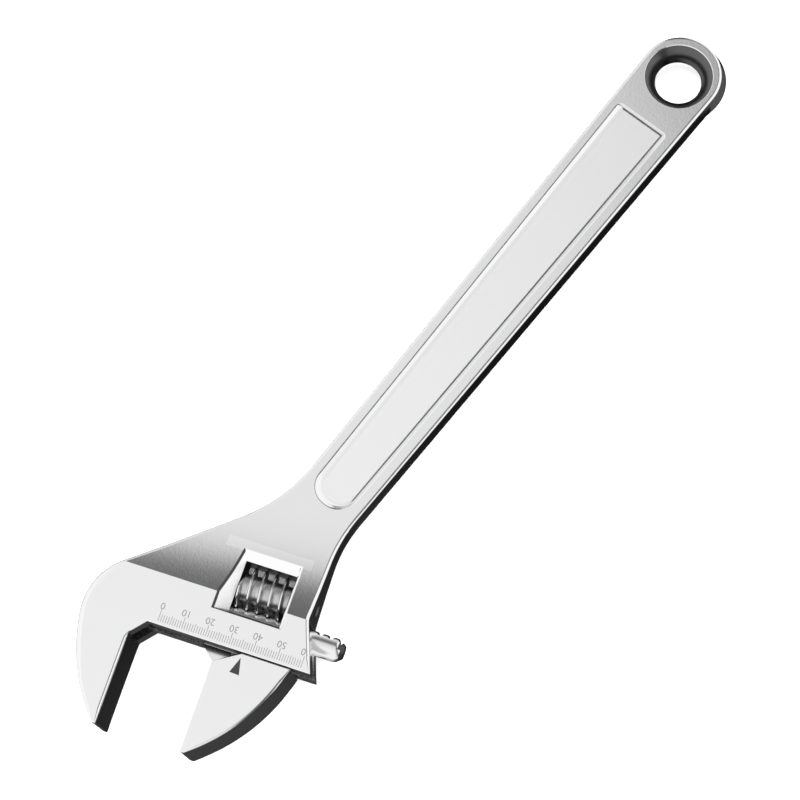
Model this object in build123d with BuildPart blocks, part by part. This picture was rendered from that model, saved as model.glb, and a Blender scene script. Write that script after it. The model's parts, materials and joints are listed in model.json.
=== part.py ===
"""Adjustable wrench, nominal 375 mm (15 inch), its head turned 20 degrees from the handle.

Frame: X runs along the handle from the jaws to the hanging hole, Z is square to the flat faces and
the origin is the centre of the hanging hole, half way through the handle. Units are millimetres.
The head is drawn in its own frame: s runs along the slide in the opening direction, j runs towards
the jaw tips, and s = j = 0 is the inner corner of the fixed jaw.
"""
import os
from math import atan, cos, pi, radians, sin

from build123d import *

os.makedirs("parts", exist_ok=True)

# Head frame
HEAD_ANGLE = -69.6
HEAD_X = -316.45
HEAD_Y = 29.0
S_DIR = (cos(radians(HEAD_ANGLE)), sin(radians(HEAD_ANGLE)), 0)
J_DIR = (sin(radians(HEAD_ANGLE)), -cos(radians(HEAD_ANGLE)), 0)
HEAD = Plane(origin=(HEAD_X, HEAD_Y, 0), x_dir=S_DIR, z_dir=(0, 0, -1))
ACROSS = Plane(origin=(HEAD_X, HEAD_Y, 0), x_dir=J_DIR, z_dir=S_DIR)

# Forging
HEAD_THICK = 28.0
HANDLE_THICK = 14.0
CREASE_J = -20.0
NECK_RUN = 42.0
HANDLE_LENGTH = 230.0
HANDLE_NECK_HALF = 14.3
END_RADIUS = 17.3
END_CENTRE = (1.9, -1.0)
END_ARC_RADIUS = 18.3
END_ARC_LOW = radians(-100)
END_ARC_HIGH = radians(94)
END_FLARE_X = -14.0
NECK_LOW_X = -241.0
NECK_LOW_RADIUS = 60.0
NECK_HIGH_X = -241.5
NECK_HIGH_RADIUS = 66.0
LONG = 500.0

# Outline of the head beyond its slide: cheek, shoulder and back, as (s, j)
CHEEK = (66.4, -20.5)
CHEEK_RADIUS = 8.0
SHOULDER = (-11.3, -21.2)
SHOULDER_MIDDLE = (-20.6, -9.5)
BACK = (-22.2, 2.9)
BACK_MIDDLE = (-15.6, 24.6)
JAW_FRONT_MIDDLE = (56.8, 22.6)

# Handle panel and hanging hole
PANEL_DEPTH = 1.0
PANEL_TAPER = 40.0
PANEL_RIM = 4.8
PANEL_NEAR_X = -24.0
PANEL_FAR_X = -233.5
PANEL_NEAR_RADIUS = 2.0
PANEL_FAR_RADIUS = 9.0
HOLE_RADIUS = 9.7
HOLE_RIM_RADIUS = 14.3
HOLE_LAND_HALF = 1.0
HOLE_FLARE_RADIUS = 11.2
HOLE_FLARE_Z = 4.6

# Jaws
JAW_LENGTH = 44.3
JAW_TIP_WIDTH = 1.8
OPENING = 35.3
THROAT_FILL_S = 5.6
THROAT_FILL_J = 6.4
SLIDE_END_S = 74.0
SLIDE_GAP = 0.5
MOVING_ROOT_S = 66.0
TOE_S = 27.8
TOE_J = 7.2
TOE_HALF = 6.0
SCOOP_S = 46.2
RELIEF_S = 41.9
POCKET_GAP = 0.4
OVERLAP = 0.3
CLEAR = 1.0

# Rack rod, its bore and the slot that the web of the sliding jaw runs in
PITCH = 4.45
ROD_J = -13.9
ROD_RADIUS = 4.8
ROD_START_S = 28.4
ROD_END_S = 82.2
ROD_CHAMFER = 1.2
BORE_START_S = -7.7
RUNNING_FIT = 0.05
WEB_HALF = 4.0
WEB_GAP = 0.3
RACK_DEPTH = 2.3
RACK_ROOT_WIDTH = 1.5
RACK_TIP_WIDTH = 2.5

# Worm, its window, pin and spring
WORM_J = -26.3
WORM_RADIUS = 9.5
WORM_ROOT_RADIUS = 6.2
WORM_START_S = 34.5
WORM_END_S = 55.3
THREAD_PHASE_S = 40.0
THREAD_CREST = 0.8
THREAD_ROOT = 1.9
THREAD_TURNS = 4.2
THREAD_SUNK = 0.4
WINDOW_LEFT_S = 33.7
WINDOW_RIGHT_S = 55.8
WINDOW_TOP_J = -36.1
WINDOW_BOTTOM_J = -14.3
BEVEL_FLOOR_Z = 6.0
BEVEL_FLOOR = (36.2, 55.2, -36.1, -15.4)
BEVEL_RIM = (28.4, 56.3, -43.0, -13.4)
PIN_RADIUS = 2.5
PIN_START_S = 22.0
PIN_END_S = 65.2
PIN_SLOT_WIDTH = 0.9
PIN_SLOT_DEPTH = 1.2
SPRING_WIRE_RADIUS = 0.35
SPRING_RADIUS = 3.2
SPRING_TURNS = 4
SPRING_POCKET_RADIUS = 3.9
SPRING_POCKET_DEPTH = 4.0


def at_head(s, j):
    """Row coordinates of a point of the head frame, in the mid-plane."""
    return HEAD.from_local_coords((s, j, 0))


def in_head(s, j, z):
    """Row coordinates of a point of the head frame at height z."""
    return HEAD.from_local_coords((s, j, -z))


def along_slide(s, j):
    """Plane square to the slide, its origin on the line at j and its normal along s."""
    return Plane(origin=at_head(s, j), x_dir=J_DIR, z_dir=S_DIR)


def handle_half(x):
    """Half width of the tapered handle at x."""
    return END_RADIUS + x * (END_RADIUS - HANDLE_NECK_HALF) / HANDLE_LENGTH


def panel_half(x):
    """Half width of the sunk panel at x."""
    return handle_half(x) - PANEL_RIM


def head_box(left, right, top, bottom):
    """Closed outline of a rectangle of the head frame, for use inside a BuildLine."""
    Polyline((left, top), (right, top), (right, bottom), (left, bottom), close=True)


# ---------------------------------------------------------------- wrench body
neck_low = Vector(NECK_LOW_X, -handle_half(NECK_LOW_X))
neck_high = Vector(NECK_HIGH_X, handle_half(NECK_HIGH_X))
cheek = at_head(*CHEEK)
shoulder = at_head(*SHOULDER)
back = at_head(*BACK)
fixed_tip = at_head(-JAW_TIP_WIDTH, JAW_LENGTH)
end_flare = Vector(END_FLARE_X, -handle_half(END_FLARE_X))
end_low, end_far, end_high = (
    Vector(*END_CENTRE) + END_ARC_RADIUS * Vector(cos(turn), sin(turn))
    for turn in (END_ARC_LOW, 0, END_ARC_HIGH)
)
head_half = HEAD_THICK / 2
flat_half = HANDLE_THICK / 2

with BuildPart() as wrench_body:
    with BuildSketch() as outline:
        with BuildLine():
            Polyline(
                at_head(THROAT_FILL_S, 0),
                at_head(SLIDE_END_S, 0),
                cheek,
                neck_low,
                end_flare,
                end_low,
            )
            ThreePointArc(end_low, end_far, end_high)
            Polyline(end_high, neck_high, shoulder)
            ThreePointArc(shoulder, at_head(*SHOULDER_MIDDLE), back)
            ThreePointArc(back, at_head(*BACK_MIDDLE), fixed_tip)
            Polyline(
                fixed_tip,
                at_head(0, JAW_LENGTH),
                at_head(0, THROAT_FILL_J),
                at_head(THROAT_FILL_S, 0),
            )
        make_face()
        fillet(outline.vertices().sort_by_distance(neck_low)[0], NECK_LOW_RADIUS)
        fillet(outline.vertices().sort_by_distance(neck_high)[0], NECK_HIGH_RADIUS)
        fillet(outline.vertices().sort_by_distance(cheek)[0], CHEEK_RADIUS)
    extrude(amount=head_half, both=True)

    # Thick flat head, hollow neck, thin handle: one section square to the slide
    with BuildSketch(ACROSS):
        with BuildLine():
            drop = head_half - flat_half
            neck_radius = (NECK_RUN**2 + drop**2) / (2 * drop)
            neck_foot_j = CREASE_J - NECK_RUN
            Polyline((LONG, 0), (LONG, head_half), (CREASE_J, head_half))
            RadiusArc((CREASE_J, head_half), (neck_foot_j, flat_half), neck_radius)
            Polyline((neck_foot_j, flat_half), (-LONG, flat_half), (-LONG, 0), (LONG, 0))
        make_face()
        mirror(about=Plane.XZ)
    extrude(amount=LONG, both=True, mode=Mode.INTERSECT)

    # Sunk panel on both faces of the handle
    for side in (1, -1):
        face = Plane(origin=(0, 0, side * flat_half), x_dir=(1, 0, 0), z_dir=(0, 0, side))
        with BuildSketch(face) as panel:
            with BuildLine():
                Polyline(
                    (PANEL_NEAR_X, panel_half(PANEL_NEAR_X)),
                    (PANEL_FAR_X, panel_half(PANEL_FAR_X)),
                    (PANEL_FAR_X, -panel_half(PANEL_FAR_X)),
                    (PANEL_NEAR_X, -panel_half(PANEL_NEAR_X)),
                    close=True,
                )
            make_face()
            corners = panel.vertices().sort_by(Axis.X)
            fillet(corners[:2], PANEL_FAR_RADIUS)
            fillet(corners[2:], PANEL_NEAR_RADIUS)
        extrude(amount=-PANEL_DEPTH, taper=PANEL_TAPER, mode=Mode.SUBTRACT)

    # Hanging hole, flared from a short land to both faces
    with BuildSketch(Plane.XZ):
        with BuildLine():
            land = (HOLE_RADIUS, HOLE_LAND_HALF)
            rim = (HOLE_RIM_RADIUS, flat_half)
            Polyline((HOLE_RADIUS, 0), land)
            ThreePointArc(land, (HOLE_FLARE_RADIUS, HOLE_FLARE_Z), rim)
            Polyline(rim, (0, flat_half), (0, 0), (HOLE_RADIUS, 0))
        make_face()
        mirror(about=Plane.XZ)
    revolve(axis=Axis.Z, mode=Mode.SUBTRACT)

    # Worm window, straight through, with planar bevels from both faces
    with BuildSketch(HEAD):
        with BuildLine():
            head_box(WINDOW_LEFT_S, WINDOW_RIGHT_S, WINDOW_TOP_J, WINDOW_BOTTOM_J)
        make_face()
    extrude(amount=HEAD_THICK, both=True, mode=Mode.SUBTRACT)
    for side in (1, -1):
        for height, corners in ((BEVEL_FLOOR_Z, BEVEL_FLOOR), (head_half, BEVEL_RIM)):
            with BuildSketch(HEAD.offset(-side * height)):
                with BuildLine():
                    head_box(*corners)
                make_face()
        loft(mode=Mode.SUBTRACT)

    # Bore of the rack rod, the web slot below it and the pocket for the toe of the sliding jaw
    with BuildSketch(along_slide(BORE_START_S, ROD_J)):
        Circle(ROD_RADIUS + RUNNING_FIT)
    extrude(amount=LONG, mode=Mode.SUBTRACT)
    with BuildSketch(HEAD):
        with BuildLine():
            Polyline(
                (BORE_START_S, ROD_J),
                (LONG, ROD_J),
                (LONG, JAW_LENGTH),
                (OPENING, JAW_LENGTH),
                (OPENING, TOE_J),
                (THROAT_FILL_S, CLEAR),
                (BORE_START_S, CLEAR),
                close=True,
            )
        make_face()
    extrude(amount=WEB_HALF + WEB_GAP, both=True, mode=Mode.SUBTRACT)
    with BuildSketch(HEAD):
        with BuildLine():
            Polyline(
                (BORE_START_S, -POCKET_GAP),
                (BORE_START_S, POCKET_GAP),
                (POCKET_GAP, TOE_J + 2 * POCKET_GAP),
                (THROAT_FILL_S + CLEAR, TOE_J + 2 * POCKET_GAP),
                (THROAT_FILL_S + CLEAR, -POCKET_GAP),
                close=True,
            )
        make_face()
    extrude(amount=TOE_HALF + POCKET_GAP, both=True, mode=Mode.SUBTRACT)

    # Hole for the worm pin, from the right edge of the head through the window
    with BuildSketch(along_slide(PIN_START_S, WORM_J)):
        Circle(PIN_RADIUS + RUNNING_FIT)
    extrude(amount=LONG, mode=Mode.SUBTRACT)
wrench_body.part.label = "wrench_body"
export_step(wrench_body.part, "parts/wrench_body.step")


# ---------------------------------------------------------------- sliding jaw
def scoop_plane(side):
    """Plane of the scoop that thins the root of the sliding jaw on one face."""
    near = in_head(OPENING, TOE_J, side * head_half)
    far = in_head(SCOOP_S, SLIDE_GAP, side * head_half)
    deep = in_head(RELIEF_S, SLIDE_GAP, side * TOE_HALF)
    normal = (far - near).cross(deep - near)
    return Plane(origin=near, x_dir=far - near, z_dir=normal if normal.Z * side > 0 else -normal)


# Rack teeth lean by the lead angle of the worm, so that they lie along its thread
LEAD_ANGLE = atan(PITCH / (2 * pi * (WORM_RADIUS - RACK_DEPTH / 2)))
RACK = Plane(
    origin=at_head(THREAD_PHASE_S, ROD_J - ROD_RADIUS),
    x_dir=Vector(S_DIR) * cos(LEAD_ANGLE) + Vector(0, 0, sin(LEAD_ANGLE)),
    z_dir=Vector(S_DIR) * sin(LEAD_ANGLE) - Vector(0, 0, cos(LEAD_ANGLE)),
)

with BuildPart() as sliding_jaw:
    with BuildSketch(HEAD):
        with BuildLine():
            jaw_tip = (OPENING + JAW_TIP_WIDTH, JAW_LENGTH)
            Polyline((MOVING_ROOT_S, SLIDE_GAP), (OPENING, SLIDE_GAP), (OPENING, JAW_LENGTH), jaw_tip)
            ThreePointArc(jaw_tip, JAW_FRONT_MIDDLE, (MOVING_ROOT_S, SLIDE_GAP))
        make_face()
    extrude(amount=head_half, both=True)

    # Root relieved so that the closed jaw clears the filled corner of the throat
    for side in (1, -1):
        with BuildSketch(scoop_plane(side)):
            Rectangle(4 * HEAD_THICK, 2 * HEAD_THICK)
        extrude(amount=HEAD_THICK, mode=Mode.SUBTRACT)
        with BuildSketch(HEAD.offset(-side * TOE_HALF)):
            with BuildLine():
                Polyline((OPENING, 0), (OPENING, TOE_J), (RELIEF_S, 0), close=True)
            make_face()
        extrude(amount=-side * HEAD_THICK, mode=Mode.SUBTRACT)

    # Toe, web and rack rod
    with BuildSketch(HEAD):
        with BuildLine():
            Polyline((TOE_S, SLIDE_GAP), (RELIEF_S, SLIDE_GAP), (OPENING, TOE_J), close=True)
        make_face()
    extrude(amount=TOE_HALF, both=True)
    with BuildSketch(HEAD):
        with BuildLine():
            head_box(TOE_S + 2 * OVERLAP, MOVING_ROOT_S - CLEAR, ROD_J, SLIDE_GAP + OVERLAP)
        make_face()
    extrude(amount=WEB_HALF, both=True)
    with BuildSketch(along_slide(ROD_START_S, ROD_J)):
        Circle(ROD_RADIUS)
    extrude(amount=ROD_END_S - ROD_START_S)
    rod_end = sliding_jaw.faces().sort_by_distance(at_head(ROD_END_S, ROD_J))[0]
    chamfer(rod_end.edges(), ROD_CHAMFER)
    first_gap = int((ROD_START_S - THREAD_PHASE_S) / PITCH)
    last_gap = int((ROD_END_S - THREAD_PHASE_S) / PITCH)
    with BuildSketch(RACK):
        with Locations([(k * PITCH * cos(LEAD_ANGLE), 0) for k in range(first_gap, last_gap + 1)]):
            Polygon(
                (-RACK_ROOT_WIDTH / 2, RACK_DEPTH),
                (RACK_ROOT_WIDTH / 2, RACK_DEPTH),
                (RACK_TIP_WIDTH / 2, 0),
                (RACK_TIP_WIDTH / 2, -CLEAR),
                (-RACK_TIP_WIDTH / 2, -CLEAR),
                (-RACK_TIP_WIDTH / 2, 0),
                align=None,
            )
    extrude(amount=2 * ROD_RADIUS, both=True, mode=Mode.SUBTRACT)
sliding_jaw.part.label = "sliding_jaw"
export_step(sliding_jaw.part, "parts/sliding_jaw.step")


# ---------------------------------------------------------------- worm screw
WORM_START = along_slide(WORM_START_S, WORM_J)
THREAD_START = along_slide(THREAD_PHASE_S - PITCH, WORM_J)
thread_path = THREAD_START * Helix(pitch=PITCH, height=THREAD_TURNS * PITCH, radius=WORM_ROOT_RADIUS)

with BuildPart() as worm_screw:
    with BuildSketch(WORM_START):
        Circle(WORM_ROOT_RADIUS)
    extrude(amount=WORM_END_S - WORM_START_S)
    with BuildSketch(Plane(origin=THREAD_START.origin, x_dir=J_DIR, z_dir=(0, 0, -1))):
        with BuildLine():
            foot = WORM_ROOT_RADIUS - THREAD_SUNK
            Polyline(
                (foot, -THREAD_ROOT / 2),
                (WORM_RADIUS, -THREAD_CREST / 2),
                (WORM_RADIUS, THREAD_CREST / 2),
                (foot, THREAD_ROOT / 2),
                close=True,
            )
        make_face()
    sweep(path=thread_path, is_frenet=True)
    with BuildSketch(WORM_START):
        Circle(PIN_RADIUS + RUNNING_FIT)
    extrude(amount=WORM_END_S - WORM_START_S, mode=Mode.SUBTRACT)
    with BuildSketch(WORM_START):
        Circle(SPRING_POCKET_RADIUS)
    extrude(amount=SPRING_POCKET_DEPTH, mode=Mode.SUBTRACT)
worm_screw.part.label = "worm_screw"
export_step(worm_screw.part, "parts/worm_screw.step")


# ---------------------------------------------------------------- worm pin
with BuildPart() as worm_pin:
    with BuildSketch(along_slide(PIN_START_S, WORM_J)):
        Circle(PIN_RADIUS)
    extrude(amount=PIN_END_S - PIN_START_S)
    with BuildSketch(along_slide(PIN_END_S, WORM_J)):
        Rectangle(2 * PIN_RADIUS, PIN_SLOT_WIDTH)
    extrude(amount=-PIN_SLOT_DEPTH, mode=Mode.SUBTRACT)
worm_pin.part.label = "worm_pin"
export_step(worm_pin.part, "parts/worm_pin.step")


# ---------------------------------------------------------------- worm spring
spring_start = WINDOW_LEFT_S + SPRING_WIRE_RADIUS + RUNNING_FIT
spring_end = WORM_START_S + SPRING_POCKET_DEPTH - SPRING_WIRE_RADIUS - RUNNING_FIT
coil = along_slide(spring_start, WORM_J) * Helix(
    pitch=(spring_end - spring_start) / SPRING_TURNS,
    height=spring_end - spring_start,
    radius=SPRING_RADIUS,
)

with BuildPart() as worm_spring:
    with BuildSketch(Plane(origin=coil @ 0, z_dir=coil % 0)):
        Circle(SPRING_WIRE_RADIUS)
    sweep(path=coil, is_frenet=True)
worm_spring.part.label = "worm_spring"
export_step(worm_spring.part, "parts/worm_spring.step")

for piece in (wrench_body, sliding_jaw, worm_screw, worm_pin, worm_spring):
    print(piece.part.label, piece.part.is_valid, round(piece.part.volume, 1), len(piece.part.solids()))
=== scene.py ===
"""Adjustable wrench in satin chrome: the looks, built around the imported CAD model.

Shapes are drawn in millimetres and turned into metres when a mesh is made. The head has its own
frame: s runs along the slide in the opening direction, j runs towards the jaw tips, and s = j = 0
is the inner corner of the fixed jaw.
"""

import json
from math import atan2, ceil, cos, pi, radians, sin, tan

import bmesh
import bpy
from mathutils import Matrix, Vector


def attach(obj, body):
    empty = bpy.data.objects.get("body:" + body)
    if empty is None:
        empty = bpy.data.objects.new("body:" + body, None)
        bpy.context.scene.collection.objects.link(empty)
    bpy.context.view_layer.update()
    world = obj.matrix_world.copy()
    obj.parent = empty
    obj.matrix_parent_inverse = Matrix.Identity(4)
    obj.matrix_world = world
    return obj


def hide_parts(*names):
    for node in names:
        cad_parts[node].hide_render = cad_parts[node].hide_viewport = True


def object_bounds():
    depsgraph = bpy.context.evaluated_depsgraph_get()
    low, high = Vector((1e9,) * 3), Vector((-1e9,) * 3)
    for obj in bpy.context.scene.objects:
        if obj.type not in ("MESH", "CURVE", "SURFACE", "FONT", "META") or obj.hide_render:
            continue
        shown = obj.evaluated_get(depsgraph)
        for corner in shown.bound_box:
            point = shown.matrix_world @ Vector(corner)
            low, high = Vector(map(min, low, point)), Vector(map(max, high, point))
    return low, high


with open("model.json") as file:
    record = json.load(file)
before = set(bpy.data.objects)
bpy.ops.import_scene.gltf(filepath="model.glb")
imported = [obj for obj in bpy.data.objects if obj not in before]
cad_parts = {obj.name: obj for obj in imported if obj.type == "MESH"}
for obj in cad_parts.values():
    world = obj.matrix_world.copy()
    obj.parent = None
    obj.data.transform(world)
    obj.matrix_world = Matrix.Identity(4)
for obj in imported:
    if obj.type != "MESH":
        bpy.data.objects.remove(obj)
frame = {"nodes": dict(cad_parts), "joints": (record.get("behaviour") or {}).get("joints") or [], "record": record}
cad_low, cad_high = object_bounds()

MM = 0.001

# ---------------------------------------------------------------- frame of the head
mounts = {m["name"]: m for m in frame["record"]["mounts"]}
joints = {j["name"]: j for j in frame["joints"]}
FIXED_FACE_J = 26.0
S = Vector(joints["jaw_slide"]["axis"][:2])
J = Vector((S.y, -S.x))
HEAD = Vector(mounts["fixed_jaw_face"]["pos_m"][:2]) / MM - FIXED_FACE_J * J
HEAD_HALF = cad_high.z / MM

# Forging; the printing stands PRINT_HEIGHT above its face, up to HEAD_HALF
PRINT_HEIGHT = 0.02
FACE_HALF = HEAD_HALF - PRINT_HEIGHT
HANDLE_HALF_THICK = 7.0
CHEEK = (66.4, -20.5)
CREASE_J = -20.0
NECK_RUN = 42.0
NECK_DROP = FACE_HALF - HANDLE_HALF_THICK
NECK_RADIUS = (NECK_RUN**2 + NECK_DROP**2) / (2 * NECK_DROP)
NECK_STEP = 1.5
# Where the neck is divided along s, clear of the bevels at the window's two sides
NECK_SPLITS = (*range(-20, 28, 4), *range(36, 56, 4), *range(60, 76, 4))
HANDLE_LENGTH = 230.0
HANDLE_NECK_HALF = 14.3
END_RADIUS = 17.3
END_CENTRE = Vector((1.9, -1.0))
END_ARC_RADIUS = cad_high.x / MM - END_CENTRE.x
END_FLARE_X = -14.0
FACE_CENTRE = Vector((1.2, 0))
OUTER_RIM = 1.5
BACK_RIM = 2.4
INNER_RIM = 0.4
RIM_FADE = 6.0
RIM_STEPS = 7
STEP = 2.0

# Panel and hanging hole
PANEL_RIM = 4.8
PANEL_CENTRE_Y = 0.25
PANEL_EDGE_OUT = 0.5
PANEL_EDGE_RADIUS = 1.3
PANEL_WALL_TILT = radians(40)
PANEL_SHOULDER = ((1.4, 5.81), (1.9, 5.905), (2.4, 5.985), (2.85, 6.02))
PANEL_NEAR_WALL = 0.25
PANEL_LOW_SHOULDER = 0.55
PANEL_NEAR_X = -24.0
PANEL_FAR_X = -233.5
PANEL_NEAR_RADIUS = 2.0
PANEL_FAR_RADIUS = 9.0
HOLE_RADIUS = mounts["hanging_hole"]["dims"]["r_mm"]
# Section of the hole as (radius, height): half its land, then the flare and the rim
HOLE_LAND_HALF = 0.4
FLARE_MIDDLE = (11.3, 4.2)
FLARE_END = (14.1, 6.7)
HOLE_RIM_MIDDLE = (14.25, 6.9)
HOLE_MOUTH_RADIUS = 14.6

# Jaws
JAW_LENGTH = 44.3
JAW_FRONT_MIDDLE = (56.8, 22.6)
TIP_WIDTH = 1.8
OPENING = 35.3
THROAT_S = 5.6
THROAT_J = 6.4
SLIDE_END_S = 74.0
SLIDE_GAP = 0.5
ROOT_S = 66.0
TOE_S = 27.8
TOE_J = 7.2
TOE_HALF = 6.0
# Hollow of the toe as (j, height over the toe)
TOE_GROOVE = ((3.6, 0.02), (2.5, -0.08), (1.4, -0.31), (0.2, -0.72))
SCOOP_S = 46.2
RELIEF_S = 41.9
POCKET_GAP = 0.4
FACE_GAP = 0.05

# Rack rod, bore and web slot
PITCH = 4.45
ROD_J = -13.9
ROD_RADIUS = 4.8
ROD_START_S = 28.4
ROD_END_S = 82.2
ROD_CHAMFER = 0.3
ROD_NOSE = 3.0
ROD_NOSE_LENGTH = 3.6
ROD_NOSE_DROP = 2.1
BORE_START_S = -7.7
RUNNING_FIT = 0.05
WEB_HALF = 4.0
WEB_GAP = 0.3
RACK_DEPTH = 2.3
RACK_ROOT_WIDTH = 1.5
RACK_TIP_WIDTH = 2.5

# Worm and window
WORM_J = -26.3
WORM_RADIUS = 9.5
RACK_HALF_WIDTH = 3.5
WORM_ROOT_RADIUS = 6.2
WORM_START_S = 34.5
WORM_END_S = 55.3
THREAD_PHASE_S = 40.0
THREAD_CREST = 0.8
THREAD_ROOT = 1.9
THREAD_TURNS = 4.2
WINDOW_LEFT_S = 33.7
WINDOW_RIGHT_S = 55.8
WINDOW_TOP_J = -36.1
WINDOW_BOTTOM_J = -14.3
BEVEL_FLOOR_Z = 6.0
BEVEL_LEVELS = ((6.0, 34.2, 55.2, -34.7, -15.4), (16.4, 26.7, 56.6, -55.1, -12.8))
WINDOW_RIMS = (((-1, 0), 0.65), ((0, -1), 0.35), ((1, 0), 1.1), ((0, 1), 0.5))
PIN_RADIUS = 2.5
PIN_START_S = 22.0
SPRING_POCKET_RADIUS = 3.9
SPRING_POCKET_DEPTH = 4

# Printed scale and index: one line per millimetre
SCALE_ZERO_S = 9.6
SCALE_LENGTH = 60
TICK_FOOT_J = -1.3
TICK_WIDTH = 0.24
TICK_LENGTH = 3.0
FIVE_LENGTH = 3.5
TEN_LENGTH = 4.7
DIGIT_HEIGHT = 2.75
DIGIT_J = -7.7
INDEX_CORNERS = ((45.9, 2.3), (47.5, 9.1), (43.4, 8.9))


def at_head(s, j):
    """Point of the head frame, in the plane of the wrench."""
    return HEAD + s * S + j * J


def in_head(s, j, z):
    """Point of the head frame at height z."""
    return at_head(s, j).to_3d() + Vector((0, 0, z))


def head_j(point):
    """How far a point lies towards the jaw tips."""
    return (Vector(point[:2]) - HEAD).dot(J)


def head_s(point):
    """How far a point lies along the slide."""
    return (Vector(point[:2]) - HEAD).dot(S)


def handle_half(x):
    """Half width of the tapered handle at x."""
    return END_RADIUS + x * (END_RADIUS - HANDLE_NECK_HALF) / HANDLE_LENGTH


# ---------------------------------------------------------------- plane curves
def arc(start, via, end, step=STEP):
    """Points of the arc through three points, its ends included."""
    start, via, end = Vector(start), Vector(via), Vector(end)
    a, b = via - start, end - start
    turn = 2 * a.cross(b)
    centre = start + Vector((b.y * a.length_squared - a.y * b.length_squared,
                             a.x * b.length_squared - b.x * a.length_squared)) / turn
    radius = (start - centre).length
    first = atan2(start.y - centre.y, start.x - centre.x)
    sweep = (atan2(end.y - centre.y, end.x - centre.x) - first) % (2 * pi)
    if turn < 0:
        sweep -= 2 * pi
    count = max(3, ceil(abs(sweep) * radius / step))
    angles = [first + sweep * k / count for k in range(count + 1)]
    return [centre + radius * Vector((cos(t), sin(t))) for t in angles]


def fillet(before, corner, after, radius, step=STEP):
    """Points of the arc that rounds a corner."""
    before, corner, after = Vector(before), Vector(corner), Vector(after)
    u, v = (before - corner).normalized(), (after - corner).normalized()
    half = u.angle(v) / 2
    centre = corner + (u + v).normalized() * radius / sin(half)
    reach = radius / tan(half)
    middle = centre + (corner - centre).normalized() * radius
    return arc(corner + u * reach, middle, corner + v * reach, step)


def rounded(corners, step=STEP):
    """Closed outline through (point, radius) corners."""
    points = []
    for k, (corner, radius) in enumerate(corners):
        before, after = corners[k - 1][0], corners[(k + 1) % len(corners)][0]
        points += fillet(before, corner, after, radius, step) if radius else [Vector(corner)]
    return points


def divided(points, step=STEP):
    """Closed outline with no edge longer than about one step."""
    dense = []
    for k, point in enumerate(points):
        following = points[(k + 1) % len(points)]
        count = max(1, round((following - point).length / step))
        dense += [point.lerp(following, n / count) for n in range(count)]
    return dense


def area(points):
    """Signed area of a closed outline, positive when it runs counter-clockwise."""
    return sum(points[k - 1].cross(points[k]) for k in range(len(points))) / 2


def inset(points, depths):
    """Outline moved inwards by a depth at each point, corners kept square."""
    moved = []
    for k, point in enumerate(points):
        into = (point - points[k - 1]).normalized()
        out = (points[(k + 1) % len(points)] - point).normalized()
        left_in, left_out = Vector((-into.y, into.x)), Vector((-out.y, out.x))
        middle = left_in + left_out
        moved.append(point + middle * depths[k] / (1 + left_in.dot(left_out)))
    return moved


# ---------------------------------------------------------------- meshes
def new_object(name, bm, materials=()):
    """Object in metres from a mesh drawn in millimetres."""
    mesh = bpy.data.meshes.new(name)
    bm.to_mesh(mesh)
    bm.free()
    mesh.transform(Matrix.Scale(MM, 4))
    for material in materials:
        mesh.materials.append(material)
    piece = bpy.data.objects.new(name, mesh)
    bpy.context.scene.collection.objects.link(piece)
    return piece


def loop_of(bm, points):
    return [bm.verts.new(p) for p in points]


def bridge(bm, lower, upper):
    """Quads between two closed loops of the same length."""
    for k in range(len(lower)):
        bm.faces.new((lower[k - 1], lower[k], upper[k], upper[k - 1]))


def loft(loops):
    """Closed solid through closed loops, the first and the last one filled."""
    bm = bmesh.new()
    rings = [loop_of(bm, points) for points in loops]
    for lower, upper in zip(rings, rings[1:]):
        bridge(bm, lower, upper)
    bm.faces.new(rings[0])
    bm.faces.new(rings[-1])
    bmesh.ops.recalc_face_normals(bm, faces=bm.faces)
    return bm


def prism(points, low, high):
    """Solid between two heights over an outline in the plane."""
    return loft([[Vector((p.x, p.y, z)) for p in points] for z in (low, high)])


def head_prism(corners, low, high):
    return prism([at_head(s, j) for s, j in corners], low, high)


def turned(profile, origin, axis, start, count=96):
    """Solid of revolution from (distance along the axis, radius) pairs."""
    axis, start = Vector(axis), Vector(start)
    side = axis.cross(start)
    loops = []
    for distance, radius in profile:
        centre = origin + distance * axis
        angles = [2 * pi * k / count for k in range(count)]
        loops.append([centre + radius * (cos(t) * start + sin(t) * side) for t in angles])
    return loft(loops)


def along_slide(profile, j, count=96):
    """Solid of revolution about a line along the slide."""
    return turned(profile, in_head(0, j, 0), S.to_3d(), J.to_3d(), count)


def cut(piece, solids, operation="DIFFERENCE"):
    """Exact boolean of a piece with solids, one after the other."""
    tools = []
    for solid in solids:
        tool = new_object("tool", solid)
        step = piece.modifiers.new("boolean", "BOOLEAN")
        step.operation = operation
        step.solver = "EXACT"
        step.object = tool
        tools.append(tool)
    bake(piece)
    for tool in tools:
        mesh = tool.data
        bpy.data.objects.remove(tool)
        bpy.data.meshes.remove(mesh)


def bake(piece):
    """Replaces a piece's mesh by what its modifiers make of it."""
    graph = bpy.context.evaluated_depsgraph_get()
    made = bpy.data.meshes.new_from_object(piece.evaluated_get(graph))
    made.name = piece.name
    piece.modifiers.clear()
    piece.data = made


def smooth(piece, limit=28, crease=None):
    """Smooth shading that stays sharp over the limit angle, with flat faces kept flat."""
    bm = bmesh.new()
    bm.from_mesh(piece.data)
    bmesh.ops.remove_doubles(bm, verts=bm.verts, dist=1e-7)
    for face in bm.faces:
        face.smooth = True
    for edge in bm.edges:
        wide = not edge.is_manifold or edge.calc_face_angle(0) > radians(limit)
        edge.smooth = not (wide or crease and crease(edge))
    bm.to_mesh(piece.data)
    bm.free()
    weighted = piece.modifiers.new("normals", "WEIGHTED_NORMAL")
    weighted.keep_sharp = True
    bake(piece)


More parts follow.
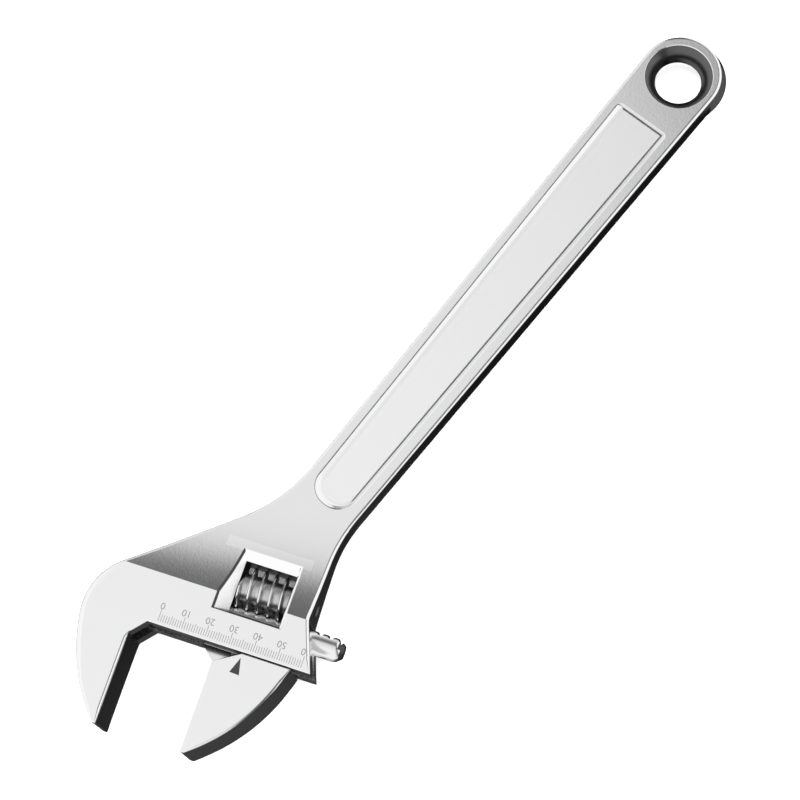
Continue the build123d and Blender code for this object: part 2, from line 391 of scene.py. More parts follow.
def paint_faces(piece, materials, choose):
    """Gives each face the material that choose(centre in mm, normal) returns."""
    for material in materials:
        piece.data.materials.append(material)
    for polygon in piece.data.polygons:
        polygon.material_index = materials.index(choose(polygon.center / MM, polygon.normal))


def rounded_plate(name, outline, rims, drafts, top, cuts=(), splits=()):
    """Plate with both rims rounded; top(j) gives its half thickness, bent at the cuts along j.

    The sides lean inwards by their draft on the way from the middle to a rim. The splits divide the
    bent part along s as well, which keeps its faces small and their normals true.
    """
    if area(outline) < 0:
        outline, rims, drafts = outline[::-1], rims[::-1], drafts[::-1]
    bm = bmesh.new()
    base = 100.0
    rings = [loop_of(bm, [(p.x, p.y, -base) for p in outline])]
    leans = [atan2(draft, HANDLE_HALF_THICK) for draft in drafts]
    for k in range(RIM_STEPS + 1):
        turns = [lean + (pi / 2 - lean) * k / RIM_STEPS for lean in leans]
        moved = [d + r * (cos(lean) - cos(t)) for d, r, lean, t in zip(drafts, rims, leans, turns)]
        ring = inset(outline, moved)
        rings.append(loop_of(bm, [(p.x, p.y, -r * (1 - sin(t))) for p, r, t in zip(ring, rims, turns)]))
    for lower, upper in zip(rings, rings[1:]):
        bridge(bm, lower, upper)
    bm.faces.new(rings[-1])
    for j in cuts:
        bmesh.ops.bisect_plane(
            bm, geom=[*bm.verts, *bm.edges, *bm.faces], dist=1e-5,
            plane_co=in_head(0, j, 0), plane_no=J.to_3d(),
        )
    for s in splits:
        bent = [f for f in bm.faces if cuts[-1] < head_j(f.calc_center_median()) < cuts[0]]
        parts = {*bent, *(e for f in bent for e in f.edges), *(v for f in bent for v in f.verts)}
        bmesh.ops.bisect_plane(
            bm, geom=list(parts), dist=1e-5,
            plane_co=in_head(s, 0, 0), plane_no=S.to_3d(),
        )
    for vert in bm.verts:
        vert.co.z = 0 if vert.co.z < -base / 2 else top(head_j(vert.co)) + vert.co.z
    other = bmesh.ops.duplicate(bm, geom=[*bm.verts, *bm.edges, *bm.faces])["geom"]
    for item in other:
        if isinstance(item, bmesh.types.BMVert):
            item.co.z = -item.co.z
    bmesh.ops.remove_doubles(bm, verts=bm.verts, dist=1e-4)
    bmesh.ops.recalc_face_normals(bm, faces=bm.faces)
    return new_object(name, bm)


# ---------------------------------------------------------------- materials
def grey(value):
    return (value, value, value)


def node_material(name, **shader):
    """New material and its Principled shader, with the plain values set on the sockets."""
    material = bpy.data.materials.new(name)
    material.use_nodes = True
    principled = material.node_tree.nodes["Principled BSDF"]
    for socket, value in shader.items():
        principled.inputs[socket.replace("_", " ")].default_value = value
    return material, principled


def metal(name, colour, roughness, grain=0.02, bump=0.0, wear=0.04, metallic=1.0,
          rings=False, slide_shadow=False):
    """Metal with fine grain in its roughness and height, and faint wear in its colour.

    The wear is cloudy, or lies in turned rings around a line along the slide. With the slide shadow,
    the colour carries painted shadow: dark close to the slide, clearing away from it.
    """
    material, principled = node_material(name, Metallic=metallic)
    tree = material.node_tree
    place = tree.nodes.new("ShaderNodeTexCoord")
    fine = tree.nodes.new("ShaderNodeTexNoise")
    fine.inputs["Scale"].default_value = 900
    fine.inputs["Detail"].default_value = 3
    cloud = tree.nodes.new("ShaderNodeTexNoise")
    cloud.inputs["Scale"].default_value = 28
    cloud.inputs["Detail"].default_value = 2
    lie = tree.nodes.new("ShaderNodeMapping")
    lie.vector_type = "TEXTURE"
    if rings:
        lie.inputs["Rotation"].default_value = (0, 0, atan2(S.y, S.x))
        lie.inputs["Scale"].default_value = (0.012, 0.12, 0.12)
    rough = tree.nodes.new("ShaderNodeMapRange")
    rough.inputs["To Min"].default_value = roughness - grain
    rough.inputs["To Max"].default_value = roughness + grain
    tint = tree.nodes.new("ShaderNodeMix")
    tint.data_type = "RGBA"
    tint.inputs["A"].default_value = (*[c * (1 - wear) for c in colour], 1)
    tint.inputs["B"].default_value = (*[min(1, c * (1 + wear)) for c in colour], 1)
    link = tree.links.new
    link(place.outputs["Object"], fine.inputs["Vector"])
    link(place.outputs["Object"], lie.inputs["Vector"])
    link(lie.outputs["Vector"], cloud.inputs["Vector"])
    link(fine.outputs["Fac"], rough.inputs["Value"])
    link(rough.outputs["Result"], principled.inputs["Roughness"])
    link(cloud.outputs["Fac"], tint.inputs["Factor"])
    link(tint.outputs["Result"], principled.inputs["Base Color"])
    # Painted shadow: the colour darkens towards the slide line and clears over 4 mm
    if slide_shadow:
        across = tree.nodes.new("ShaderNodeVectorMath")
        across.operation = "DOT_PRODUCT"
        across.inputs[1].default_value = J.to_3d()
        clear = tree.nodes.new("ShaderNodeMapRange")
        clear.interpolation_type = "SMOOTHSTEP"
        slide = HEAD.dot(J) * MM
        for socket, value in (("From Min", slide), ("From Max", slide + 4 * MM), ("To Min", 0.03)):
            clear.inputs[socket].default_value = value
        dim = tree.nodes.new("ShaderNodeVectorMath")
        dim.operation = "MULTIPLY"
        link(place.outputs["Object"], across.inputs[0])
        link(across.outputs["Value"], clear.inputs["Value"])
        link(tint.outputs["Result"], dim.inputs[0])
        link(clear.outputs["Result"], dim.inputs[1])
        link(dim.outputs["Vector"], principled.inputs["Base Color"])
    if bump:
        height = tree.nodes.new("ShaderNodeBump")
        height.inputs["Strength"].default_value = bump
        height.inputs["Distance"].default_value = 0.05 * MM
        link(fine.outputs["Fac"], height.inputs["Height"])
        link(height.outputs["Normal"], principled.inputs["Normal"])
    return material


polished = metal("polished_chrome", (0.92, 0.92, 0.925), 0.15, grain=0.01, wear=0.01)
forged = metal("forged_chrome", (0.86, 0.86, 0.865), 0.17, grain=0.03, bump=0.25, wear=0.015)
panel_chrome = metal("panel_chrome", grey(0.55), 0.3, grain=0.01, wear=0.008, metallic=0.75)
# Painted shade: a dimmed copy of the chrome for the window's left bevel
bevel_painted_shade = metal("bevel_painted_shade", grey(0.68), 0.3, grain=0.01, wear=0.05, metallic=0.45)
# Painted shade: the hole's flare is coloured dark in place of dark reflections
flare_painted_shade = metal("flare_painted_shade", grey(0.12), 0.3, grain=0.04, bump=0.2, wear=0.2)
# Painted shade: near-black metal on the window, slot and slide walls, the rack gaps and the rod end
dark_painted_shade = metal("dark_painted_shade", grey(0.08), 0.35, grain=0.05, bump=0.3, wear=0.15)
worm_steel = metal("worm_steel", grey(0.6), 0.33, grain=0.06, bump=0.5, wear=0.45, rings=True)
crest_steel = metal("crest_steel", grey(0.85), 0.22, wear=0.1)
# Painted shadow on the toe, darkest at the slide line
toe_painted_shadow = metal("toe_painted_shadow", grey(0.86), 0.25, grain=0.03, wear=0.05, slide_shadow=True)
rod_chrome = metal("rod_chrome", grey(0.84), 0.22, wear=0.03)
pin_steel = metal("pin_steel", grey(0.5), 0.25, wear=0.15)
spring_steel = metal("spring_steel", grey(0.45), 0.25, wear=0.15)


def ink(name, colour):
    """Printed ink with a faintly uneven coat."""
    material, principled = node_material(name, Roughness=0.55)
    tree = material.node_tree
    noise = tree.nodes.new("ShaderNodeTexNoise")
    noise.inputs["Scale"].default_value = 1500
    ramp = tree.nodes.new("ShaderNodeMix")
    ramp.data_type = "RGBA"
    ramp.inputs["A"].default_value = (*grey(colour * 0.8), 1)
    ramp.inputs["B"].default_value = (*grey(colour * 1.2), 1)
    tree.links.new(noise.outputs["Fac"], ramp.inputs["Factor"])
    tree.links.new(ramp.outputs["Result"], principled.inputs["Base Color"])
    return material


scale_ink = ink("scale_ink", 0.1)
index_ink = ink("index_ink", 0.012)


# ---------------------------------------------------------------- wrench body
def neck_top(j):
    """Half thickness of the wrench: flat head, hollow neck, thin handle."""
    if j >= CREASE_J:
        return FACE_HALF
    if j <= CREASE_J - NECK_RUN:
        return HANDLE_HALF_THICK
    along = j - CREASE_J + NECK_RUN
    return HANDLE_HALF_THICK + NECK_RADIUS - (NECK_RADIUS**2 - along**2) ** 0.5


def true_neck_normals(piece):
    """Gives the hollow neck the exact normals of its curve, untouched by the cuts beside it."""
    mesh = piece.data
    normals = [corner.vector.copy() for corner in mesh.corner_normals]
    for polygon in mesh.polygons:
        points = [mesh.vertices[v].co / MM for v in polygon.vertices]
        on_neck = all(
            -NECK_RUN < head_j(p) - CREASE_J < 0.01 and abs(abs(p.z) - neck_top(head_j(p))) < 0.01
            for p in points
        )
        if not on_neck or abs(polygon.normal.z) < 0.9:
            continue
        side = 1 if polygon.normal.z > 0 else -1
        for loop, point in zip(polygon.loop_indices, points):
            lean = (head_j(point) - CREASE_J + NECK_RUN) / NECK_RADIUS
            normals[loop] = Vector((0, 0, side * (1 - lean**2) ** 0.5)) - lean * J.to_3d()
    mesh.normals_split_custom_set(normals)


def body_outline():
    """Outline of the body, with the rim radius and the draft of the side at each point."""
    neck_low = Vector((-241.0, -handle_half(-241.0)))
    neck_high = Vector((-241.5, handle_half(-241.5)))
    cheek = at_head(*CHEEK)
    slide_end = at_head(SLIDE_END_S, 0)
    end_flare = Vector((END_FLARE_X, -handle_half(END_FLARE_X)))
    end_low, end_far, end_high = (
        END_CENTRE + END_ARC_RADIUS * Vector((cos(radians(a)), sin(radians(a)))) for a in (-100, 0, 94)
    )
    shoulder = at_head(-11.3, -21.2)
    back = at_head(-22.2, 2.9)
    tip = at_head(-TIP_WIDTH, JAW_LENGTH)
    points = [at_head(THROAT_S, 0), slide_end]
    points += fillet(slide_end, cheek, neck_low, 8)
    points += [*fillet(cheek, neck_low, end_flare, 60), end_flare]
    points += arc(end_low, end_far, end_high)
    points += fillet(end_high, neck_high, shoulder, 66)
    points += arc(shoulder, at_head(-20.57, -9.5), back)[:-1]
    points += arc(back, at_head(-15.6, 24.6), tip)
    points += [at_head(0, JAW_LENGTH), at_head(0, THROAT_J)]
    points = divided(points)
    rims, drafts = [], []
    for point in points:
        s, j = head_s(point), head_j(point)
        inner = -0.1 < j and -0.01 < s and (s + j * THROAT_S / THROAT_J < THROAT_S + 0.1 or j < 0.1)
        reach = min(1, min((point - tip).length, (point - slide_end).length) / RIM_FADE)
        on_back = min(1, max(0, -12 - s) / RIM_FADE)
        outer = OUTER_RIM + (BACK_RIM - OUTER_RIM) * on_back
        rims.append(INNER_RIM if inner else INNER_RIM + (outer - INNER_RIM) * reach)
        off_face = (point - FACE_CENTRE).length - END_RADIUS if point.x > FACE_CENTRE.x else (
            -point.y - handle_half(point.x))
        drafts.append(max(0, off_face) if point.x > END_FLARE_X else 0)
    return points, rims, drafts


def panel_profile():
    """Section of the panel edge as (distance inwards, height): soft edge, wall, groove and shoulder."""
    turns = [PANEL_WALL_TILT * k / 6 for k in range(1, 7)]
    edge = [(PANEL_EDGE_RADIUS * sin(t) - PANEL_EDGE_OUT,
             HANDLE_HALF_THICK - PANEL_EDGE_RADIUS * (1 - cos(t))) for t in turns]
    return [(-1.6 * PANEL_EDGE_OUT, HANDLE_HALF_THICK + PRINT_HEIGHT), *edge, *PANEL_SHOULDER]


def panel_outline(depth):
    """Outline of the panel moved inwards, with the same number of points for every depth.

    The wall is steeper at the hole, and the shoulder narrower along the low side.
    """
    wall = min(depth, PANEL_SHOULDER[0][0])
    shoulder = depth - wall
    near = PANEL_NEAR_X - PANEL_NEAR_WALL * wall - shoulder
    far = PANEL_FAR_X + depth
    high, low = depth, wall + PANEL_LOW_SHOULDER * shoulder
    ring = [Vector((x, PANEL_CENTRE_Y + side * (handle_half(x) - PANEL_RIM - moved)))
            for x, side, moved in ((near, 1, high), (far, 1, high), (far, -1, low), (near, -1, low))]
    radii = (PANEL_NEAR_RADIUS, PANEL_FAR_RADIUS, PANEL_FAR_RADIUS, PANEL_NEAR_RADIUS)
    points = []
    for k, radius in enumerate(radii):
        small = max(0.3, radius - depth)
        points += fillet(ring[k - 1], ring[k], ring[(k + 1) % 4], small, small / 6)
    return points


def panel_cutter(side):
    """Sunk panel: a flat plateau with sloping shoulders inside a groove."""
    return loft([
        [Vector((p.x, p.y, side * z)) for p in panel_outline(depth)] for depth, z in panel_profile()
    ])


def hole_cutter():
    """Hanging hole, flared from a short land to both faces with a soft rim."""
    flare = arc((HOLE_RADIUS, HOLE_LAND_HALF), FLARE_MIDDLE, FLARE_END, 0.5)
    mouth = (HOLE_MOUTH_RADIUS, HANDLE_HALF_THICK + PRINT_HEIGHT)
    rim = arc(FLARE_END, HOLE_RIM_MIDDLE, mouth, 0.15)[1:]
    half = [(p.y, p.x) for p in flare + rim]
    profile = [(-z, r) for z, r in reversed(half)] + half
    return turned(profile, Vector((0, 0, 0)), (0, 0, 1), (1, 0, 0), 128)


def bevel_cutter(side):
    """Planar bevels around the worm window, from a floor below the face."""
    loops = []
    for z, left, right, top, bottom in BEVEL_LEVELS:
        corners = ((left, top), (right, top), (right, bottom), (left, bottom))
        loops.append([in_head(s, j, side * z) for s, j in corners])
    return loft(loops)


def soften_window(piece):
    """Rounds the edges between the window bevels and the faces, each side by its own width."""
    widest = max(width for direction, width in WINDOW_RIMS)
    bm = bmesh.new()
    bm.from_mesh(piece.data)
    bmesh.ops.remove_doubles(bm, verts=bm.verts, dist=1e-7)
    share = bm.edges.layers.float.new("bevel_weight_edge")
    for edge in bm.edges:
        middle = (edge.verts[0].co + edge.verts[1].co) / 2 / MM
        s, j = head_s(middle), head_j(middle)
        near = WINDOW_LEFT_S - 6 < s < WINDOW_RIGHT_S + 1 and WINDOW_TOP_J - 8 < j < WINDOW_BOTTOM_J + 1.5
        if not near or abs(middle.z) < BEVEL_FLOOR_Z + 1 or edge.calc_face_angle(0) < radians(25):
            continue
        steep, flat = sorted((face.normal for face in edge.link_faces), key=lambda n: abs(n.z))
        if abs(flat.z) > 0.9:
            for (towards_s, towards_j), width in WINDOW_RIMS:
                if steep.dot((towards_s * S + towards_j * J).to_3d()) < -0.35:
                    edge[share] = width / widest
    bm.to_mesh(piece.data)
    bm.free()
    rim = piece.modifiers.new("rim", "BEVEL")
    rim.limit_method = "WEIGHT"
    rim.width = widest * MM
    rim.segments = 4
    rim.use_clamp_overlap = False
    bake(piece)


def make_body():
    points, rims, drafts = body_outline()
    cuts = [CREASE_J - NECK_STEP * k for k in range(round(NECK_RUN / NECK_STEP) + 1)]
    piece = rounded_plate("chrome_body", points, rims, drafts, neck_top, cuts, NECK_SPLITS)
    far = 2 * SLIDE_END_S
    window = ((WINDOW_LEFT_S, WINDOW_TOP_J), (WINDOW_RIGHT_S, WINDOW_TOP_J),
              (WINDOW_RIGHT_S, WINDOW_BOTTOM_J), (WINDOW_LEFT_S, WINDOW_BOTTOM_J))
    slot = ((BORE_START_S, ROD_J), (far, ROD_J), (far, JAW_LENGTH), (OPENING, JAW_LENGTH),
            (OPENING, TOE_J), (THROAT_S, 1), (BORE_START_S, 1))
    toe_top = TOE_J + 2 * POCKET_GAP
    pocket = ((BORE_START_S, -POCKET_GAP), (BORE_START_S, POCKET_GAP), (POCKET_GAP, toe_top),
              (THROAT_S + 1, toe_top), (THROAT_S + 1, -POCKET_GAP))
    slot_half = WEB_HALF + WEB_GAP
    pocket_half = TOE_HALF + POCKET_GAP
    bore = ROD_RADIUS + RUNNING_FIT
    pin = PIN_RADIUS + RUNNING_FIT
    cut(piece, [
        panel_cutter(1), panel_cutter(-1), hole_cutter(),
        head_prism(window, -2 * HEAD_HALF, 2 * HEAD_HALF), bevel_cutter(1), bevel_cutter(-1),
        along_slide([(BORE_START_S, bore), (far, bore)], ROD_J, 64),
        head_prism(slot, -slot_half, slot_half),
        head_prism(pocket, -pocket_half, pocket_half),
        along_slide([(PIN_START_S, pin), (far, pin)], WORM_J, 48),
    ])
    soften_window(piece)

    def is_crease(edge):
        ends = [v.co / MM for v in edge.verts]
        on_line = all(abs(head_j(p) - CREASE_J) < 0.01 for p in ends)
        return on_line and all(abs(p.z) > HEAD_HALF - OUTER_RIM for p in ends)

    smooth(piece, crease=is_crease)
    true_neck_normals(piece)

    def choose(centre, normal):
        s, j = head_s(centre), head_j(centre)
        # The hole's flare is painted dark as shade
        if centre.xy.length < 14 and abs(normal.z) < 0.95:
            return flare_painted_shade
        if abs(centre.z) > HEAD_HALF - 0.1:
            return polished
        in_window = WINDOW_LEFT_S - 6 < s < WINDOW_RIGHT_S + 1 and WINDOW_TOP_J - 8 < j < -13
        # Painted shade round the window: left rim rounding and faces towards the handle dark, left bevel dimmed
        if in_window and 0.1 < abs(normal.z) < 0.99 and abs(centre.z) > BEVEL_FLOOR_Z:
            if normal.dot(S.to_3d()) > 0.08 and s < WINDOW_LEFT_S + 1:
                return dark_painted_shade if abs(normal.z) > 0.62 else bevel_painted_shade
            return dark_painted_shade if normal.dot(-J.to_3d()) > 0.5 else polished
        # The slide wall under the throat is painted dark as shade
        if normal.dot(J.to_3d()) > 0.9 and abs(j) < 0.2 and s > THROAT_S:
            return dark_painted_shade
        on_slot = abs(centre.z) < bore + 0.1 and -9 < s < far and -20 < j < 5
        # Walls in the window, slot, bore and pocket are painted dark as shade
        if in_window or on_slot and abs(centre.z) < pocket_half + 0.1:
            return dark_painted_shade if abs(normal.z) < 0.9 else forged
        if abs(abs(centre.z) - PANEL_SHOULDER[-1][1]) < 0.005:
            return panel_chrome
        return forged

    paint_faces(piece, (polished, forged, panel_chrome, dark_painted_shade, flare_painted_shade, bevel_painted_shade), choose)
    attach(piece, "body")
    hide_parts("wrench_body")
    return piece


# ---------------------------------------------------------------- sliding jaw
LEAD_ANGLE = atan2(PITCH, 2 * pi * (WORM_RADIUS - RACK_DEPTH / 2))


def rack_cutter(number):
    """One gap of the rack, leaning by the lead angle of the worm."""
    lean = S.to_3d() * cos(LEAD_ANGLE) + Vector((0, 0, sin(LEAD_ANGLE)))
    along = Vector((0, 0, cos(LEAD_ANGLE))) - S.to_3d() * sin(LEAD_ANGLE)
    start = in_head(THREAD_PHASE_S + number * PITCH, ROD_J - ROD_RADIUS, 0)
    deep, proud = J.to_3d() * RACK_DEPTH, -J.to_3d()
    section = ((-RACK_ROOT_WIDTH / 2, deep), (RACK_ROOT_WIDTH / 2, deep),
               (RACK_TIP_WIDTH / 2 + 0.2, proud), (-RACK_TIP_WIDTH / 2 - 0.2, proud))
    loops = []
    for end in (-1, 1):
        loops.append([start + across * lean + level + end * RACK_HALF_WIDTH * along
                      for across, level in section])
    return loft(loops)


def make_jaw():
    tip = at_head(OPENING + TIP_WIDTH, JAW_LENGTH)
    root = at_head(ROOT_S, SLIDE_GAP)
    face = OPENING + FACE_GAP
    points = [root, at_head(face, SLIDE_GAP), at_head(face, JAW_LENGTH)]
    points = divided(points + arc(tip, at_head(*JAW_FRONT_MIDDLE), root)[:-1])
    rims = []
    for point in points:
        s, j = head_s(point), head_j(point)
        inner = j < SLIDE_GAP + 0.1 or s < face + 0.1 or j > JAW_LENGTH - 0.1
        reach = min((point - tip).length, (point - root).length) / RIM_FADE
        rims.append(INNER_RIM if inner else INNER_RIM + (OUTER_RIM - INNER_RIM) * min(1, reach))
    piece = rounded_plate("chrome_jaw", points, rims, [0] * len(points), lambda j: FACE_HALF)
    big = 2 * HEAD_HALF
    removed = []
    for side in (1, -1):
        near = in_head(OPENING, TOE_J, side * HEAD_HALF)
        far = in_head(SCOOP_S, SLIDE_GAP, side * HEAD_HALF)
        deep = in_head(RELIEF_S, SLIDE_GAP, side * TOE_HALF)
        along = (far - near).normalized()
        out = (far - near).cross(deep - near).normalized()
        out = out if out.z * side > 0 else -out
        down = along.cross(out)
        patch = [near + a * big * along + b * big * down for a, b in ((-1, -1), (2, -1), (2, 1), (-1, 1))]
        removed.append(loft([patch, [p + big * out for p in patch]]))
        low, high = sorted((side * TOE_HALF, side * big))
        removed.append(head_prism(((OPENING - 1, -1), (OPENING - 1, TOE_J), (OPENING, TOE_J),
                                   (RELIEF_S, SLIDE_GAP), (RELIEF_S, -1)), low, high))
    cut(piece, removed)
    toe = head_prism(((TOE_S, SLIDE_GAP), (RELIEF_S, SLIDE_GAP), (RELIEF_S, SLIDE_GAP + 1),
                      (OPENING + 1, TOE_J), (OPENING, TOE_J)), -TOE_HALF, TOE_HALF)
    web_start, web_end, web_top = TOE_S + SLIDE_GAP, ROOT_S - 1, SLIDE_GAP + 0.3
    web = head_prism(((web_start, web_top), (web_start, ROD_J), (web_end, ROD_J), (web_end, web_top)),
                     -WEB_HALF, WEB_HALF)
    nose_start = ROD_END_S - ROD_NOSE_LENGTH
    nose = [(nose_start + ROD_NOSE * sin(radians(t)), ROD_RADIUS - ROD_NOSE * (1 - cos(radians(t))))
            for t in range(0, 46, 9)]
    rod = along_slide([
        (ROD_START_S, ROD_RADIUS - ROD_CHAMFER), (ROD_START_S + ROD_CHAMFER, ROD_RADIUS),
        *nose, (ROD_END_S, ROD_RADIUS - ROD_NOSE_DROP),
    ], ROD_J)
    cut(piece, [toe, web, rod], "UNION")
    for side in (1, -1):
        groove = [(j, TOE_HALF + rise) for j, rise in TOE_GROOVE]
        groove += [(TOE_GROOVE[-1][0], HEAD_HALF), (TOE_GROOVE[0][0], HEAD_HALF)]
        ends = (TOE_S - 1, RELIEF_S - 1.5)
        cut(piece, [loft([[in_head(s, j, side * z) for j, z in groove] for s in ends])])
    first = int((ROD_START_S - THREAD_PHASE_S) / PITCH)
    last = int((ROD_END_S - THREAD_PHASE_S) / PITCH)
    cut(piece, [rack_cutter(k) for k in range(first, last + 1)])
    smooth(piece)

    def choose(centre, normal):
        s, j = head_s(centre), head_j(centre)
        if abs(centre.z) > HEAD_HALF - 0.1:
            return polished
        # The rod's end is painted dark as shade
        if s > nose_start + 0.75 * ROD_NOSE:
            return dark_painted_shade
        # The rack's gaps are painted dark as shade
        if j < SLIDE_GAP:
            off_axis = Vector((j - ROD_J, centre.z)).length
            return dark_painted_shade if j < ROD_J and off_axis < ROD_RADIUS - 0.1 else rod_chrome
        # The toe's flat faces carry a painted shadow along the slide
        return toe_painted_shadow if s < SCOOP_S and abs(normal.z) > 0.8 else forged

    paint_faces(piece, (polished, forged, rod_chrome, dark_painted_shade, toe_painted_shadow), choose)
    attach(piece, "jaw")
    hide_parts("sliding_jaw")
    return piece


# ---------------------------------------------------------------- worm
def thread_solid():
    """Thread of the worm: a trapezoid carried along a helix, rising out of the root at both ends."""
    foot = WORM_ROOT_RADIUS - 0.4
    bevel = 0.25
    section = ((foot, -THREAD_ROOT / 2), (WORM_RADIUS - bevel, -THREAD_CREST / 2 - bevel / 3),
               (WORM_RADIUS, -THREAD_CREST / 2 + bevel / 2), (WORM_RADIUS, THREAD_CREST / 2 - bevel / 2),
               (WORM_RADIUS - bevel, THREAD_CREST / 2 + bevel / 3), (foot, THREAD_ROOT / 2))
    per_turn = 72
    first, last = -per_turn // 4 - 6, round(THREAD_TURNS * per_turn)
    loops = []
    for k in range(first, last + 1):
        turn = 2 * pi * k / per_turn
        rise = min(1, min(k - first, last - k) / (per_turn / 10) + 0.05)
        centre = in_head(THREAD_PHASE_S - PITCH + PITCH * k / per_turn, WORM_J, 0)
        out = cos(turn) * J.to_3d() - sin(turn) * Vector((0, 0, 1))
        loops.append([centre + (foot + (r - foot) * rise) * out + across * S.to_3d()
                      for r, across in section])
    return loft(loops)


def make_worm():
    edge = 0.4
    piece = new_object("worm_thread", along_slide([
        (WORM_START_S, WORM_ROOT_RADIUS - edge), (WORM_START_S + edge, WORM_ROOT_RADIUS),
        (WORM_END_S - edge, WORM_ROOT_RADIUS), (WORM_END_S, WORM_ROOT_RADIUS - edge),
    ], WORM_J, 72))
    cut(piece, [thread_solid()], "UNION")
    end = 2 * WORM_RADIUS
    cut(piece, [along_slide([(WORM_START_S - end, end), (WORM_START_S, end)], WORM_J, 16)])
    pin = PIN_RADIUS + RUNNING_FIT
    cut(piece, [
        along_slide([(WORM_START_S - 1, pin), (WORM_END_S + 1, pin)], WORM_J, 48),
        along_slide([(WORM_START_S - 1, SPRING_POCKET_RADIUS),
                     (WORM_START_S + SPRING_POCKET_DEPTH, SPRING_POCKET_RADIUS)], WORM_J, 48),
    ])
    smooth(piece)
    axis_point = in_head(0, WORM_J, 0)

    def choose(centre, normal):
        off = centre - axis_point
        off -= off.dot(S.to_3d()) * S.to_3d()
        return crest_steel if off.length > WORM_RADIUS - 0.45 else worm_steel

    paint_faces(piece, (worm_steel, crest_steel), choose)
    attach(piece, "worm")
    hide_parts("worm_screw")


# ---------------------------------------------------------------- printed scale and index
def flat_patch(bm, corners, low, high):
    """Thin closed box over a convex outline of the head frame."""
    part = head_prism(corners, low, high)
    mesh = bpy.data.meshes.new("patch")
    part.to_mesh(mesh)
    part.free()
    bm.from_mesh(mesh)
    bpy.data.meshes.remove(mesh)


def make_ticks():
    bm = bmesh.new()
    for value in range(SCALE_LENGTH + 1):
        length = TEN_LENGTH if value % 10 == 0 else FIVE_LENGTH if value % 5 == 0 else TICK_LENGTH
        s = SCALE_ZERO_S + value
        half = TICK_WIDTH / 2
        top = TICK_FOOT_J - length
        flat_patch(bm, ((s - half, TICK_FOOT_J), (s + half, TICK_FOOT_J), (s + half, top), (s - half, top)),
                   HEAD_HALF - 3 * PRINT_HEIGHT, HEAD_HALF)
    piece = new_object("scale_lines", bm, [scale_ink])
    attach(piece, "body")


def make_digits():
    for value in range(0, SCALE_LENGTH + 1, 10):
        text = bpy.data.curves.new("digits", "FONT")
        text.body = str(value)
        text.align_x = "CENTER"
        text.align_y = "CENTER"
        text.size = DIGIT_HEIGHT / 0.7 * MM
        text.extrude = PRINT_HEIGHT * MM
        place = in_head(SCALE_ZERO_S + value, DIGIT_J, FACE_HALF) * MM
        axes = Matrix((-S.to_3d(), J.to_3d(), Vector((0, 0, 1)))).transposed().to_4x4()
        writer = bpy.data.objects.new("writer", text)
        bpy.context.scene.collection.objects.link(writer)
        graph = bpy.context.evaluated_depsgraph_get()
        mesh = bpy.data.meshes.new_from_object(writer.evaluated_get(graph))
        mesh.transform(Matrix.Translation(place) @ axes)
        bpy.data.objects.remove(writer)
        bm = bmesh.new()
        bm.from_mesh(mesh)
        bmesh.ops.remove_doubles(bm, verts=bm.verts, dist=1e-6)
        slide_end, cheek = at_head(SLIDE_END_S, 0), at_head(*CHEEK)
        outward = Vector((-(cheek - slide_end).y, (cheek - slide_end).x)).normalized().to_3d()
        outward = outward if outward.dot(S.to_3d()) > 0 else -outward
        edge = (slide_end.to_3d() - 0.9 * outward) * MM
        bmesh.ops.bisect_plane(bm, geom=[*bm.verts, *bm.edges, *bm.faces], plane_co=edge,
                               plane_no=outward, clear_outer=True)
        bm.to_mesh(mesh)
        bm.free()
        mesh.materials.clear()
        mesh.materials.append(scale_ink)
        mesh.name = f"number_{value}"
        piece = bpy.data.objects.new(f"number_{value}", mesh)
        bpy.context.scene.collection.objects.link(piece)
        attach(piece, "body")


def make_index():
    bm = bmesh.new()
    flat_patch(bm, INDEX_CORNERS, HEAD_HALF - 3 * PRINT_HEIGHT, HEAD_HALF)
    piece = new_object("index_mark", bm, [index_ink])
    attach(piece, "jaw")


# ---------------------------------------------------------------- stage, light and camera
def make_floor():
    bm = bmesh.new()
    size = 6000
    loop = loop_of(bm, [(x * size, y * size, -HEAD_HALF) for x, y in ((-1, -1), (1, -1), (1, 1), (-1, 1))])
    bm.faces.new(loop)
    material, principled = node_material("pale_floor", Roughness=0.9)
    principled.inputs["Base Color"].default_value = (*grey(0.9), 1)
    floor = new_object("floor", bm, [material])
    floor.visible_glossy = False


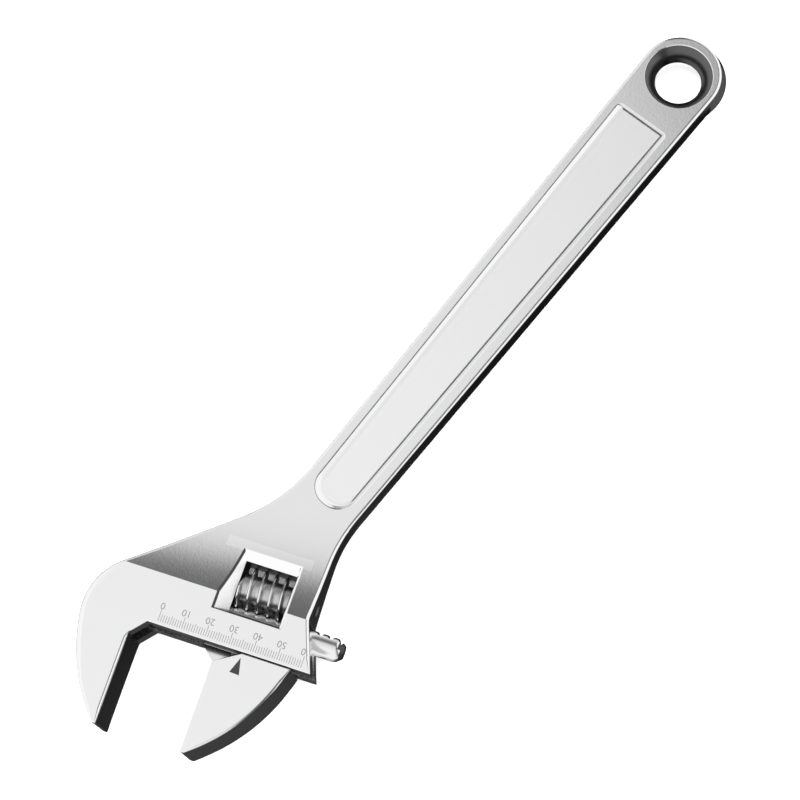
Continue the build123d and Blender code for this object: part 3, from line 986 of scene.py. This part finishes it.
def make_world():
    """Studio around the wrench: bright above and round the horizon, a dark gap on one side, dark below."""
    world = bpy.data.worlds.new("studio")
    bpy.context.scene.world = world
    world.use_nodes = True
    tree = world.node_tree
    link = tree.links.new
    place = tree.nodes.new("ShaderNodeTexCoord")
    split = tree.nodes.new("ShaderNodeSeparateXYZ")
    link(place.outputs["Generated"], split.inputs["Vector"])
    side = tree.nodes.new("ShaderNodeVectorMath")
    side.operation = "DOT_PRODUCT"
    side.inputs[1].default_value = (0.866, -0.5, 0)
    link(place.outputs["Generated"], side.inputs[0])

    def ramp(source, low, high, stops):
        scaled = tree.nodes.new("ShaderNodeMapRange")
        scaled.inputs["From Min"].default_value = low
        scaled.inputs["From Max"].default_value = high
        link(source, scaled.inputs["Value"])
        node = tree.nodes.new("ShaderNodeValToRGB")
        bar = node.color_ramp
        while len(bar.elements) < len(stops):
            bar.elements.new(0.5)
        for element, (position, value) in zip(bar.elements, stops):
            element.position = (position - low) / (high - low)
            element.color = (*grey(value), 1)
        link(scaled.outputs["Result"], node.inputs["Fac"])
        return node.outputs["Color"]

    across = ramp(side.outputs["Value"], -1, 1, (
        (-1.0, 1.1), (-0.25, 1.05), (-0.12, 0.91), (0.06, 0.90), (0.15, 0.85), (0.185, 0.77), (0.235, 0.12),
        (0.47, 0.10), (0.55, 1.1), (1.0, 1.1),
    ))
    upright = ramp(split.outputs["Z"], -1, 1, ((-1.0, 0.05), (-0.45, 0.09), (-0.3, 1.0), (1.0, 1.0)))
    lift = ramp(side.outputs["Value"], -1, 1, ((-1.0, 0.9), (-0.5, 0.5), (-0.2, 0.0), (1.0, 0.0)))
    level = tree.nodes.new("ShaderNodeVectorMath")
    level.operation = "MAXIMUM"
    link(upright, level.inputs[0])
    link(lift, level.inputs[1])
    both = tree.nodes.new("ShaderNodeVectorMath")
    both.operation = "MULTIPLY"
    link(across, both.inputs[0])
    link(level.outputs["Vector"], both.inputs[1])
    background = tree.nodes["Background"]
    link(both.outputs["Vector"], background.inputs["Color"])
    background.inputs["Strength"].default_value = 1.0


def make_light():
    light = bpy.data.lights.new("overhead", "AREA")
    light.shape = "SQUARE"
    light.size = 2.5
    light.energy = 120
    lamp = bpy.data.objects.new("overhead", light)
    lamp.location = (-0.17, 0, 1.8)
    lamp.visible_glossy = False
    lamp.visible_camera = False
    bpy.context.scene.collection.objects.link(lamp)


def make_camera():
    camera = bpy.data.cameras.new("camera")
    camera.lens = 108
    camera.sensor_width = 36
    camera.clip_start = 0.01
    eye = bpy.data.objects.new("camera", camera)
    location = Vector((-0.3491, -0.2056, 0.9423))
    target = Vector((-0.17995, 0.00512, 0))
    right = Vector((0.62837, -0.77557, -0.06067))
    back = (location - target).normalized()
    up = back.cross(right).normalized()
    turn = Matrix((up.cross(back), up, back)).transposed().to_4x4()
    eye.matrix_world = Matrix.Translation(location) @ turn
    bpy.context.scene.collection.objects.link(eye)
    bpy.context.scene.camera = eye


make_body()
make_jaw()
make_worm()
make_ticks()
make_digits()
make_index()
for node, material in (("worm_pin", pin_steel), ("worm_spring", spring_steel)):
    data = frame["nodes"][node].data
    data.materials.clear()
    data.materials.append(material)
make_floor()
make_world()
make_light()
make_camera()
bpy.context.scene.view_settings.view_transform = "Standard"
